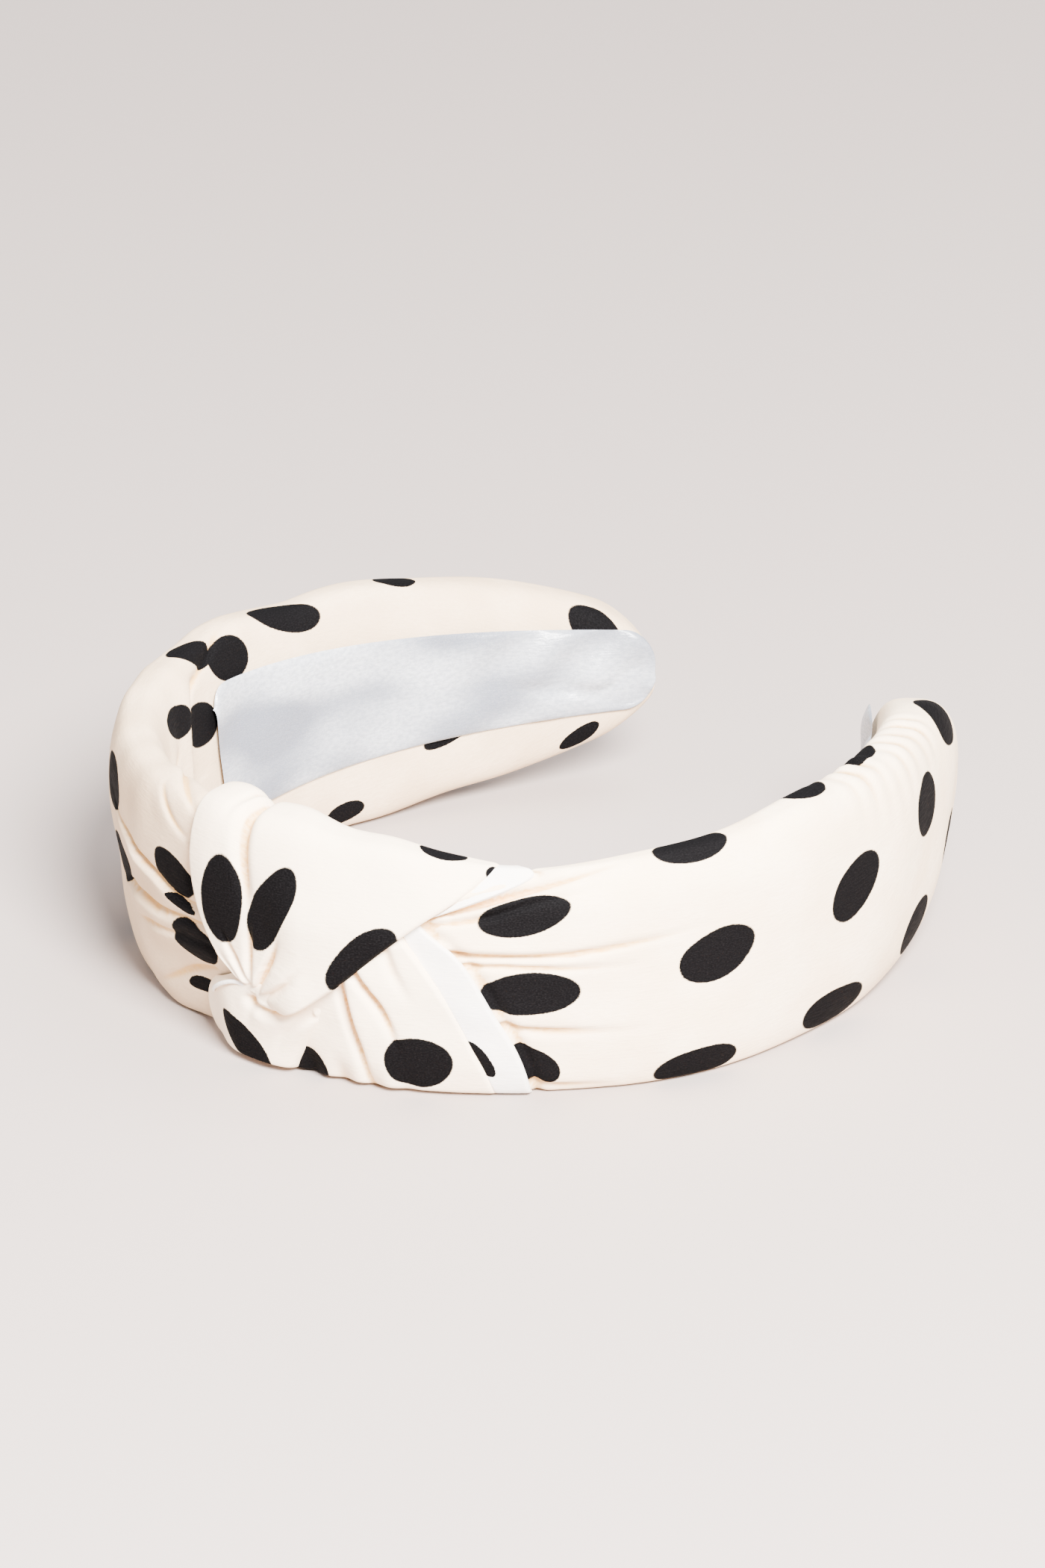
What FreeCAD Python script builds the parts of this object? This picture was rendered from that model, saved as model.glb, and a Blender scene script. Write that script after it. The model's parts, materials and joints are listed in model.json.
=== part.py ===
"""Padded satin headband with a knot at the crown, lying on its long edge.

Row frame: +Z is up, across the band's width; the crown and its knot face -Y, the two tips point
to +Y, and +X is the wearer's arm that the knot's free edge points along.  The origin is the middle
of the bounding box's base.  Millimetres.

Every layer is placed by a station s along the band's inner face, measured from the crown, a
distance r outwards from that face and a height z from the band's mid line.
"""
import FreeCAD, Part
import math
import os

# ---- driving dimensions ----------------------------------------------------------------------
ARM = 172.4                                     # crown to tip along the inner face
BEND = (0.0172, 0.00936, -0.03387, 0.01106)     # curvature per mm, as a cubic in s / ARM
HEIGHT = 47.9                                   # band height at the crown
TIP_HEIGHT = 16.7                               # band height at the tip, before its rounding
TAPER = 6.0                                     # how late the height tapers
DEPTH = 10.1                                    # padding depth at the crown
TIP_DEPTH = 16.0                                # padding depth near the tip
DEPTH_RISE = 1.29                               # how the depth grows along the arm
LEAN = 0.152                                    # outward lean of the crown's top edge, radians
TIP_LEAN = 0.028
MID_HEIGHT = 23.1                               # mid line above the surface it lies on
TIP_ROUND = 10.3                                # length of the rounded tip
TIP_END_HEIGHT = 0.3                            # share of the height left at the very end
TIP_END_DEPTH = 4.0
OUTER_FULLNESS = 2.6                            # superellipse exponents of the section
INNER_FULLNESS = 3.6

CLOTH = 1.0                                     # cover cloth with its backing
GAP = 0.1
REST_CUT = 0.3                                  # padding pressed flat where it rests

LEFT_HINGE = 18.0                               # flex axes, measured from the crown
RIGHT_HINGE = 49.0
HINGE_DEPTH = 2.45                              # middle of the plastic core
FLEX_GAP = 2.4                                  # arm padding starts this far past the axis

CORE_IN = 1.6
CORE_OUT = 3.3
CORE_HALF = 16.0                                # half width at the crown
CORE_TIP_HALF = 8.0
CORE_END = 8.0                                  # core stops this far short of the tip
CORE_SHIFT = 2.2                                # core centre above the mid line at the crown
CORE_ROOM = 0.35

LINING_START = 79.0
LINING_END = 171.6
LINING_IN = -0.8
LINING_OUT = -0.3
LINING_HALF = 19.8                              # half width it would have at the crown
LINING_TIP_HALF = 6.6
LINING_SHIFT = 4.4
LINING_TOE = 7.0
HEM = 5.0                                       # turned-in cloth under each lining edge

KNOT_LEFT = -15.0
LAYER = 1.15                                    # thickness of one gathered layer
FACING_GAP = 0.25
FACING_LAYER = 0.45
FAN_IN = FACING_GAP + FACING_LAYER + 2 * GAP    # heights of the knot's layers above the skin
WRAP_IN = FAN_IN + LAYER + GAP
FAN_LOW = -72                                   # angle at which the lower fan turns under
WRAP_BACK = 150                                 # angle at which the wrap meets the back strap

BEAD = 2.6                                      # width of a glue bead
BEAD_INSET = 0.4
BEAD_IN = 1.3
BEAD_OUT = 1.5
ROLL = 0.9                                      # radius of the rolled edge
THREAD = 0.35                                   # radius of a stitch
TACK = 4.0                                      # length of a stitch

POINTS = 48                                     # points round one section


# ---- the band's own coordinates ---------------------------------------------------------------
def heading(s):
    q = abs(s) / ARM
    turn = sum(k * q ** (n + 1) / (n + 1) for n, k in enumerate(BEND)) * ARM
    return math.copysign(turn, s)


def centre(s):
    """Point of the inner face's mid line, by Simpson's rule along the arm."""
    steps = 24
    h = s / steps
    x = 0.0
    y = 0.0
    for i in range(steps + 1):
        weight = 1 if i in (0, steps) else 4 if i % 2 else 2
        x += weight * math.cos(heading(i * h))
        y += weight * math.sin(heading(i * h))
    return x * h / 3, y * h / 3


def place(s, r, z):
    q = abs(s) / ARM
    lean = LEAN * (1 - q) + TIP_LEAN * q
    out = r * math.cos(lean) + z * math.sin(lean)
    up = z * math.cos(lean) - r * math.sin(lean)
    x, y = centre(s)
    turn = heading(s)
    return FreeCAD.Vector(x + out * math.sin(turn), y - out * math.cos(turn), MID_HEIGHT + up)


def tip_share(s, inset):
    start = ARM - TIP_ROUND
    run = min(1.0, max(0.0, (abs(s) - start) / (TIP_ROUND - inset)))
    return math.sqrt(max(0.0, 1 - run * run))


def height(s, inset):
    q = abs(s) / ARM
    full = HEIGHT + (TIP_HEIGHT - HEIGHT) * q ** TAPER
    return full * (TIP_END_HEIGHT + (1 - TIP_END_HEIGHT) * tip_share(s, inset)) - 2 * inset


def depth(s, inset):
    q = abs(s) / ARM
    full = DEPTH + (TIP_DEPTH - DEPTH) * q ** DEPTH_RISE
    return TIP_END_DEPTH + (full - TIP_END_DEPTH) * tip_share(s, inset) - 2 * inset


def skin(s, angle, inset=0.0):
    """Point of the section: angle 0 is outermost, +90 the top edge, 180 the inner face."""
    a = math.radians(angle)
    c = math.cos(a)
    up = math.sin(a)
    fullness = OUTER_FULLNESS if c >= 0 else INNER_FULLNESS
    r = inset + depth(s, inset) / 2 * (1 + math.copysign(abs(c) ** (2 / fullness), c))
    z = height(s, inset) / 2 * math.copysign(abs(up) ** (2 / fullness), up)
    p = place(s, r, z)
    floor = inset if inset > 0 else inset - REST_CUT
    p.z = max(p.z, floor)
    return p


# ---- shape helpers ------------------------------------------------------------------------------
def spline(points, closed=False):
    curve = Part.BSplineCurve()
    curve.interpolate(Points=points, PeriodicFlag=closed)
    return curve.toShape()


def loft(wires):
    shape = Part.makeLoft(wires, True, False)
    if shape.Volume < 0:
        shape.reverse()
    return shape


def ring(s, inset):
    return Part.Wire([spline([skin(s, 360.0 * i / POINTS, inset) for i in range(POINTS)], True)])


def arm_stations(start, end, step=9.0):
    """Even stations along the arm, then closer ones round the tip."""
    straight_end = min(end, ARM - TIP_ROUND)
    count = max(2, int((straight_end - start) / step))
    stations = [start + (straight_end - start) * i / count for i in range(count + 1)]
    if end > straight_end + 1:
        turns = (28, 50, 68, 83)
        stations += [straight_end + (end - straight_end) * math.sin(math.radians(t)) for t in turns]
    return stations


def padded_arm(side, start, inset):
    return loft([ring(side * s, inset) for s in arm_stations(start, ARM - inset)])


def strip(stations, inner, outer, low, high):
    """A flat strip: r from inner to outer, z from low(s) to high(s)."""
    wires = []
    for s in stations:
        corners = [place(s, inner, low(s)), place(s, outer, low(s)),
                   place(s, outer, high(s)), place(s, inner, high(s))]
        wires.append(Part.makePolygon(corners + corners[:1]))
    return loft(wires)


def patch(stations, low, high, layer_in, layer_out, count=14):
    """A cloth layer on the skin, from angle low(s) to high(s), between two heights above it."""
    wires = []
    for s, a, b in zip(stations, low, high):
        turns = [a + (b - a) * i / count for i in range(count + 1)]
        outer = [skin(s, t, -layer_out) for t in turns]
        inner = [skin(s, t, -layer_in) for t in reversed(turns)]
        edges = [spline(outer), Part.makeLine(outer[-1], inner[0]),
                 spline(inner), Part.makeLine(inner[-1], outer[0])]
        wires.append(Part.Wire(edges))
    return loft(wires)


def above_floor(shape):
    span = 400.0
    room = Part.makeBox(span, span, span, FreeCAD.Vector(-span / 2, -span / 2, 0))
    return shape.common(room)


# ---- the pieces ----------------------------------------------------------------------------------
def core_half(s):
    return CORE_HALF + (CORE_TIP_HALF - CORE_HALF) * abs(s) / ARM


def core_mid(s):
    return CORE_SHIFT * (1 - 0.5 * abs(s) / ARM)


def core_end_half(s):
    """Half width of the core with its rounded end."""
    end = ARM - CORE_END
    round_length = CORE_TIP_HALF
    run = max(0.0, (abs(s) - end + round_length) / round_length)
    return core_half(s) * math.sqrt(max(0.09, 1 - run * run))


def band_core():
    end = ARM - CORE_END
    half = [end * i / 16 for i in range(16)] + [end - 3.5, end - 1.0, end]
    stations = [-s for s in reversed(half[1:])] + half
    return strip(stations, CORE_IN, CORE_OUT,
                 lambda s: core_mid(s) - core_end_half(s), lambda s: core_mid(s) + core_end_half(s))


def core_channel(low_s, high_s):
    count = 16
    stations = [low_s + (high_s - low_s) * i / count for i in range(count + 1)]
    return strip(stations, -2.0, CORE_OUT + CORE_ROOM,
                 lambda s: core_mid(s) - core_half(s) - CORE_ROOM,
                 lambda s: core_mid(s) + core_half(s) + CORE_ROOM)


def lining_half(s):
    full = LINING_HALF + (LINING_TIP_HALF - LINING_HALF) * abs(s) / ARM
    run = max(0.0, (abs(s) - LINING_END + LINING_TOE) / LINING_TOE)
    return full * math.sqrt(max(0.04, 1 - run * run))


def lining_mid(s):
    return LINING_SHIFT * (1 - 0.5 * abs(s) / ARM)


def lining(side):
    toe = LINING_END - LINING_TOE
    stations = [LINING_START + (toe - LINING_START) * i / 9 for i in range(10)]
    stations += [toe + LINING_TOE * share for share in (0.35, 0.65, 0.87, 1.0)]
    return strip([side * s for s in stations], LINING_OUT, LINING_IN,
                 lambda s: lining_mid(s) - lining_half(s), lambda s: lining_mid(s) + lining_half(s))


def hem_opening(side):
    """The bare stretch between the two turned-in hems, under the lining."""
    start = LINING_START + HEM
    end = 0.88 * ARM
    stations = [side * (start + (end - start) * i / 8) for i in range(9)]
    return strip(stations, -2.0, CLOTH + 0.3,
                 lambda s: lining_mid(s) - lining_half(s) + HEM,
                 lambda s: lining_mid(s) + lining_half(s) - HEM)


def cover(side, hinge):
    start = hinge + FLEX_GAP
    outer = padded_arm(side, start, 0.0)
    cavity = padded_arm(side, start - 1.0, CLOTH)
    return above_floor(outer.cut(cavity).cut(hem_opening(side)))


def arm_foam(side, hinge):
    start = hinge + FLEX_GAP
    body = padded_arm(side, start, CLOTH + GAP)
    ends = sorted((side * (start - 1.0), side * (ARM - CORE_END + 1.0)))
    return body.cut(core_channel(*ends))


def hem_glue(side):
    """Two beads that hold the turned-in hems to the core."""
    start = LINING_START + HEM
    end = 0.86 * ARM
    stations = [side * (start + (end - start) * i / 8) for i in range(9)]
    low_bead = strip(stations, BEAD_IN, BEAD_OUT,
                     lambda s: core_mid(s) - core_half(s) + BEAD_INSET,
                     lambda s: core_mid(s) - core_half(s) + BEAD_INSET + BEAD)
    high_bead = strip(stations, BEAD_IN, BEAD_OUT,
                      lambda s: core_mid(s) + core_half(s) - BEAD_INSET - BEAD,
                      lambda s: core_mid(s) + core_half(s) - BEAD_INSET)
    return Part.makeCompound([low_bead, high_bead])


def crown_stations(count=10):
    low = -LEFT_HINGE + GAP
    high = RIGHT_HINGE - GAP
    return [low + (high - low) * i / count for i in range(count + 1)]


def crown_foam():
    body = loft([ring(s, CLOTH + GAP) for s in crown_stations()])
    return body.cut(core_channel(-LEFT_HINGE - 1, RIGHT_HINGE + 1))


def crown_sleeve():
    """The gathered ends of both covers, which run under the knot."""
    outer = loft([ring(s, 0.0) for s in crown_stations()])
    low = -LEFT_HINGE - 1
    high = RIGHT_HINGE + 1
    inner = loft([ring(low + (high - low) * i / 10, CLOTH) for i in range(11)])
    return above_floor(outer.cut(inner))


def knot_facing():
    """The pale inner layer of the knot's cloth, along its right edge."""
    outline = ((82, 38.0, 45.8), (60, 37.0, 44.0), (45, 35.0, 41.0), (30, 31.5, 37.0),
               (18, 28.5, 34.0), (5, 28.5, 35.5), (-5, 31.0, 37.6), (-20, 34.5, 40.5),
               (-42, 37.0, 42.6), (-60, 38.8, 44.0), (-76, 40.0, 45.2))
    wires = []
    for angle, low, high in outline:
        middle = (low + high) / 2
        thick = skin(middle, angle, -FACING_GAP - FACING_LAYER) - skin(middle, angle, -FACING_GAP)
        edge = [skin(low, angle, -FACING_GAP), skin(high, angle, -FACING_GAP)]
        corners = edge + [edge[1] + thick, edge[0] + thick]
        wires.append(Part.makePolygon(corners + corners[:1]))
    return above_floor(loft(wires))


def knot_lower_fan():
    """Cloth that leaves the pinch and runs under the band's bottom edge."""
    stations = (KNOT_LEFT, -10.0, -3.0, 5.0, 12.0, 19.0, 26.0, 31.0, 35.0, 38.0)
    upper = (-48, -30, -16, -14, -6, 4, 11, -3, -21, -45)
    shape = patch(stations, [FAN_LOW] * len(stations), upper, FAN_IN, FAN_IN + LAYER)
    return above_floor(shape)


def knot_over_wrap():
    """Cloth that comes over the top edge, fans out and runs into the pinch."""
    stations = (-13.0, -7.0, 0.0, 8.0, 13.0, 18.0, 24.0, 28.0, 32.0, 37.0, 39.5)
    lower = (2, -6, -12, -18, -8, 0, 10, 18, 29, 54, 70)
    return patch(stations, lower, [WRAP_BACK] * len(stations), WRAP_IN, WRAP_IN + LAYER)


def knot_back_strap():
    """The same cloth where it closes round the inside of the crown."""
    stations = [-12.0 + 50.0 * i / 8 for i in range(9)]
    upper_edge = [WRAP_BACK + 2] * len(stations)
    lower_edge = [360 - WRAP_BACK - 2] * len(stations)
    return patch(stations, upper_edge, lower_edge, GAP, GAP + LAYER)


def knot_rolled_edge():
    """A short rolled edge of cloth beside the pinch."""
    lift = WRAP_IN + ROLL
    wires = []
    for s, angle in ((-10.0, -19.0), (-8.0, -16.5), (-6.0, -15.5), (-4.0, -16.5), (-2.0, -19.0)):
        middle = skin(s, angle, -lift)
        turn = heading(s)
        along = FreeCAD.Vector(math.cos(turn), math.sin(turn), 0)
        wires.append(Part.Wire([Part.makeCircle(ROLL, middle, along)]))
    return loft(wires)


def knot_stitches():
    """Thread tacks across both edges of the back strap."""
    tacks = []
    for s in (-8.0, 2.0, 13.0, 24.0, 34.0):
        for angle in (WRAP_BACK + 1, 360 - WRAP_BACK - 1):
            edge = skin(s, angle, -LAYER - THREAD - 2 * GAP)
            low = FreeCAD.Vector(edge.x, edge.y, edge.z - TACK / 2)
            tacks.append(Part.makeCylinder(THREAD, TACK, low))
    return Part.makeCompound(tacks)


def build():
    return {
        "band_core": band_core(),
        "crown_foam": crown_foam(),
        "crown_sleeve": crown_sleeve(),
        "knot_facing": knot_facing(),
        "knot_lower_fan": knot_lower_fan(),
        "knot_over_wrap": knot_over_wrap(),
        "knot_back_strap": knot_back_strap(),
        "knot_rolled_edge": knot_rolled_edge(),
        "knot_stitches": knot_stitches(),
        "left_foam": arm_foam(-1, LEFT_HINGE),
        "left_cover": cover(-1, LEFT_HINGE),
        "left_lining": lining(-1),
        "left_hem_glue": hem_glue(-1),
        "right_foam": arm_foam(1, RIGHT_HINGE),
        "right_cover": cover(1, RIGHT_HINGE),
        "right_lining": lining(1),
        "right_hem_glue": hem_glue(1),
    }


os.makedirs("parts", exist_ok=True)
pieces = build()
box = Part.makeCompound(list(pieces.values())).optimalBoundingBox(True, False)
shift = FreeCAD.Vector(0, -(box.YMin + box.YMax) / 2, 0)
for name, piece in pieces.items():
    piece.translate(shift)
    piece.exportStep("parts/" + name + ".step")
    print(name, len(piece.Solids), piece.isValid(), round(piece.Volume / 1000, 3), "cm3")
print("size", round(box.XLength, 2), round(box.YLength, 2), round(box.ZLength, 2))
print("shift", [round(v, 3) for v in shift])
for name, s in (("left hinge", -LEFT_HINGE), ("right hinge", RIGHT_HINGE)):
    point = place(s, HINGE_DEPTH, 0.0) + shift
    print(name, [round(v / 1000, 5) for v in point])
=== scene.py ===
"""Looks of the knotted headband: satin covers, lining and knot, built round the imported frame.

Lengths inside this script are millimetres until a mesh is written; Blender gets metres.  Cloth is
placed by s, the distance along the band from the crown, v, the distance round the section from its
outermost line (up is positive), and h, the height above the padded skin.
"""
import json
import math
import bpy
import numpy as np
from mathutils import Matrix, Vector


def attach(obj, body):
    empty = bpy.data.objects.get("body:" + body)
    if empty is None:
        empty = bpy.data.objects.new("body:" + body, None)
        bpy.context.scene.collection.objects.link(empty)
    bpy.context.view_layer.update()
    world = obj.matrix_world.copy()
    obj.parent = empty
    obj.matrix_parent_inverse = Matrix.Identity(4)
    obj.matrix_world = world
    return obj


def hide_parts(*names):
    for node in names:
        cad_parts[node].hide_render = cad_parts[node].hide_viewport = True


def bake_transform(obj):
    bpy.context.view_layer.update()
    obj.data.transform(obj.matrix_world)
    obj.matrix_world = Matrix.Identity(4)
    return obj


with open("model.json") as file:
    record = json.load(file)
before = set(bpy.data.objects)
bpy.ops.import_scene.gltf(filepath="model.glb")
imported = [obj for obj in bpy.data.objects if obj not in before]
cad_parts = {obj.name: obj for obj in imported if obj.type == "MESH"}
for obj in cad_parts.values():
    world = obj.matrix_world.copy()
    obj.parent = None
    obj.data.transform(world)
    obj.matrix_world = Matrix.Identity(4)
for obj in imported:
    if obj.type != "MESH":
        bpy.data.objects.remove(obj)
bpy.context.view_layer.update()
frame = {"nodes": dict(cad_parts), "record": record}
MM = 0.001

# ---- the band, as the CAD has it ------------------------------------------------------------------
ARM = 172.4
BEND = (0.0172, 0.00936, -0.03387, 0.01106)
HEIGHT, TIP_HEIGHT, TAPER = 47.9, 16.7, 6.0
DEPTH, TIP_DEPTH, DEPTH_RISE = 10.1, 16.0, 1.29
LEAN, TIP_LEAN = 0.152, 0.028
TIP_ROUND, TIP_END_HEIGHT, TIP_END_DEPTH = 10.3, 0.3, 4.0
OUTER_FULLNESS, INNER_FULLNESS = 2.6, 3.6
LEFT_HINGE, HINGE_DEPTH = 18.0, 2.45
FLOOR, FLATTEN, FLOOR_LIFT = 0.05, 1.2, 0.25


def heading(s):
    q = np.abs(s) / ARM
    return np.sign(s) * ARM * sum(k * q ** (n + 1) / (n + 1) for n, k in enumerate(BEND))


_line = np.linspace(0, ARM, 2001)
_turn = heading(_line)
_x = np.concatenate([[0], np.cumsum((np.cos(_turn[1:]) + np.cos(_turn[:-1])) / 2 * np.diff(_line))])
_y = np.concatenate([[0], np.cumsum((np.sin(_turn[1:]) + np.sin(_turn[:-1])) / 2 * np.diff(_line))])


def centre(s):
    return np.sign(s) * np.interp(np.abs(s), _line, _x), np.interp(np.abs(s), _line, _y)


# the crown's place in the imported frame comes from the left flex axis
hinge = next(j for j in frame["record"]["behaviour"]["joints"] if j["name"] == "left_arm_flex")["pos_m"]
_cx, _cy = centre(np.array(-LEFT_HINGE))
_t = heading(np.array(-LEFT_HINGE))
OFFSET_X = hinge[0] / MM - (_cx + HINGE_DEPTH * math.cos(LEAN) * np.sin(_t))
OFFSET_Y = hinge[1] / MM - (_cy - HINGE_DEPTH * math.cos(LEAN) * np.cos(_t))
MID = hinge[2] / MM + HINGE_DEPTH * math.sin(LEAN)


def place(s, r, z):
    q = np.abs(s) / ARM
    lean = LEAN * (1 - q) + TIP_LEAN * q
    out = r * np.cos(lean) + z * np.sin(lean)
    up = z * np.cos(lean) - r * np.sin(lean)
    x, y = centre(s)
    turn = heading(s)
    point = (x + out * np.sin(turn) + OFFSET_X, y - out * np.cos(turn) + OFFSET_Y, MID + up)
    return np.stack(np.broadcast_arrays(*point), -1)


def skin(s, angle, h=0.0):
    """Point of the padded skin; angle in radians, 0 outermost, pi / 2 the top edge."""
    s, angle, h = np.broadcast_arrays(*(np.asarray(a, float) for a in (s, angle, h)))
    q = np.abs(s) / ARM
    run = np.clip((np.abs(s) - ARM + TIP_ROUND) / TIP_ROUND, 0, 1)
    share = np.sqrt(1 - run * run)
    tall = HEIGHT + (TIP_HEIGHT - HEIGHT) * q ** TAPER
    tall = tall * (TIP_END_HEIGHT + (1 - TIP_END_HEIGHT) * share)
    deep = TIP_END_DEPTH + (DEPTH + (TIP_DEPTH - DEPTH) * q ** DEPTH_RISE - TIP_END_DEPTH) * share
    c, u = np.cos(angle), np.sin(angle)
    f = np.where(c >= 0, OUTER_FULLNESS, INNER_FULLNESS)
    r = deep / 2 + (deep / 2 + h) * np.sign(c) * np.abs(c) ** (2 / f)
    z = (tall / 2 + h) * np.sign(u) * np.abs(u) ** (2 / f)
    p = place(s, r, z)
    # the lowest cloth flattens on the floor instead of passing through it
    knee = FLOOR + FLOOR_LIFT * np.clip(h, 0, None) + FLATTEN
    below = knee - FLATTEN + FLATTEN * np.exp((p[..., 2] - knee) / FLATTEN)
    p[..., 2] = np.where(p[..., 2] < knee, below, p[..., 2])
    return p


# table that turns a distance v round the section into an angle
_S = np.linspace(-ARM, ARM, 347)
_A = np.linspace(-np.pi, np.pi, 361)
_P = skin(_S[:, None], _A[None])
_steps = np.linalg.norm(np.diff(_P, axis=1), axis=2)
_V = np.concatenate([np.zeros((len(_S), 1)), np.cumsum(_steps, 1)], 1)
HALF = _V[:, -1] / 2
_V = (_V - _V[:, 180][:, None]) / HALF[:, None]
ROUND_REACH = 1.3
_W = np.linspace(-ROUND_REACH, ROUND_REACH, 521)


def _row(k):
    w = np.concatenate([_V[k][:-1] - 2, _V[k], _V[k][1:] + 2])
    a = np.concatenate([_A[:-1] - 2 * np.pi, _A, _A[1:] + 2 * np.pi])
    return np.interp(_W, w, a)


_ANGLE = np.stack([_row(k) for k in range(len(_S))])


def half_round(s):
    return np.interp(s, _S, HALF)


def angle_at(s, v):
    w = v / half_round(s)
    i = np.clip((s + ARM) / (2 * ARM) * (len(_S) - 1), 0, len(_S) - 1.001)
    j = np.clip((w + ROUND_REACH) / (2 * ROUND_REACH) * (len(_W) - 1), 0, len(_W) - 1.001)
    i0, j0 = i.astype(int), j.astype(int)
    fi, fj = i - i0, j - j0
    low = _ANGLE[i0, j0] * (1 - fj) + _ANGLE[i0, j0 + 1] * fj
    high = _ANGLE[i0 + 1, j0] * (1 - fj) + _ANGLE[i0 + 1, j0 + 1] * fj
    return low * (1 - fi) + high * fi


def on(s, v, h=0.0):
    s, v, h = np.broadcast_arrays(np.asarray(s, float), np.asarray(v, float), np.asarray(h, float))
    return skin(s, angle_at(s, v), h)


# ---- small shape tools ---------------------------------------------------------------------------
SHOULDER = 1.6
SOFTENING_ROUNDS, FULL_HOLLOW = 14, 0.38


def smooth(x, low, high):
    t = np.clip((x - low) / (high - low), 0, 1)
    return t * t * (3 - 2 * t)


def along(path, t):
    """Points of a smooth line through path at shares t of its knots."""
    path = np.array(path, float)
    k = np.clip(np.asarray(t, float), 0, 1) * (len(path) - 1)
    i = np.clip(k.astype(int), 0, len(path) - 2)
    f = (k - i)[..., None]
    p0, p1 = path[np.maximum(i - 1, 0)], path[i]
    p2, p3 = path[i + 1], path[np.minimum(i + 2, len(path) - 1)]
    return 0.5 * (2 * p1 + (p2 - p0) * f + (2 * p0 - 5 * p1 + 4 * p2 - p3) * f ** 2
                  + (3 * p1 - p0 - 3 * p2 + p3) * f ** 3)


def distance(s, v, path):
    """Signed distance to a smooth line in the cloth, and the share along it; left of it is positive."""
    line = along(path, np.linspace(0, 1, 8 * len(path)))
    best = np.full(s.shape, 1e9)
    side = np.zeros(s.shape)
    share = np.zeros(s.shape)
    for k in range(len(line) - 1):
        a, d = line[k], line[k + 1] - line[k]
        t = np.clip(((s - a[0]) * d[0] + (v - a[1]) * d[1]) / (d @ d), 0, 1)
        x, y = s - a[0] - t * d[0], v - a[1] - t * d[1]
        r = np.hypot(x, y)
        near = r < best
        best = np.where(near, r, best)
        side = np.where(near, np.sign(d[0] * (v - a[1]) - d[1] * (s - a[0])), side)
        share = np.where(near, (k + t) / (len(line) - 1), share)
    return best * side, share


def crease(s, v, path, depth, width=0.9, lift=0.0, reach=3.0, start=0.0, fade=0.6):
    """A valley along a line, with the cloth lifted beside it on its left.

    depth and width size the valley, lift and reach the raised cloth; start and fade are the shares of
    the line where it reaches full depth and begins to die away.
    """
    d, share = distance(s, v, path)
    strength = smooth(share, -0.01, max(start, 0.01)) * (1 - smooth(share, min(fade, 0.97), 1.0))
    valley = -depth * np.exp(-(d / width) ** 2)
    ridge = lift * np.exp(-((d - SHOULDER * width) / reach) ** 2) * (d > SHOULDER * width)
    ridge += lift * smooth(d, 0, SHOULDER * width) * (d <= SHOULDER * width)
    return strength * (valley + ridge)


def ripples(s, v, seed, count, long, short, tilt=0.0, spread=0.5):
    """Soft random undulation, about -1 to 1, of count waves between the long and short wavelengths."""
    rng = np.random.default_rng(seed)
    total = np.zeros(np.broadcast(s, v).shape)
    for _ in range(count):
        a = tilt + rng.normal(0, spread)
        wave = rng.uniform(short, long)
        phase = rng.uniform(0, 2 * np.pi)
        total += np.sin(2 * np.pi * (s * np.cos(a) + v * np.sin(a)) / wave + phase)
    return total / math.sqrt(count)


def mesh_object(name, points, cloth, faces, material):
    mesh = bpy.data.meshes.new(name)
    mesh.from_pydata((points * MM).tolist(), [], faces)
    mesh.update()
    if cloth is not None:
        layer = mesh.attributes.new("cloth", "FLOAT_VECTOR", "CORNER")
        flat = np.zeros((len(mesh.loops), 3), np.float32)
        flat[:, :2] = cloth
        layer.data.foreach_set("vector", flat.ravel())
    mesh.polygons.foreach_set("use_smooth", [True] * len(mesh.polygons))
    piece = bpy.data.objects.new(name, mesh)
    bpy.context.scene.collection.objects.link(piece)
    mesh.materials.append(material)
    return piece


def hollows(h):
    """Share from 0 to 1 of how deep each grid point lies in a hollow of the cloth; the satin uses it to
    lay painted crease shade.
    """
    soft = h
    for _ in range(SOFTENING_ROUNDS):
        for axis in (0, 1):
            pad = [(1, 1) if k == axis else (0, 0) for k in (0, 1)]
            wide = np.pad(soft, pad, mode="edge")
            low = np.take(wide, range(h.shape[axis]), axis)
            high = np.take(wide, range(2, h.shape[axis] + 2), axis)
            soft = (low + 2 * soft + high) / 4
    return np.clip((soft - h) / FULL_HOLLOW, 0, 1)


def sheet_mesh(name, P, C, material, closed=False, crease_shade_share=None):
    """A grid of points (rows, columns); closed joins the last column to the first."""
    n, m = P.shape[:2]
    width = m - 1 if closed else m
    index = np.arange(n * width).reshape(n, width)
    i, j = np.meshgrid(np.arange(n - 1), np.arange(m - 1), indexing="ij")
    right = (j + 1) % width if closed else j + 1
    faces = np.stack([index[i, j], index[i + 1, j], index[i + 1, right], index[i, right]], -1)
    faces = faces.reshape(-1, 4)
    corners = np.stack([C[i, j], C[i + 1, j], C[i + 1, j + 1], C[i, j + 1]], 2).reshape(-1, 2)
    piece = mesh_object(name, P[:, :width].reshape(-1, 3), corners, faces.tolist(), material)
    # stores how deep each point lies in a crease, which the satin turns into painted crease shade
    if crease_shade_share is not None:
        layer = piece.data.attributes.new("crease_shade_share", "FLOAT", "POINT")
        layer.data.foreach_set("value", crease_shade_share[:, :width].ravel().astype(np.float32))
    return piece


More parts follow.
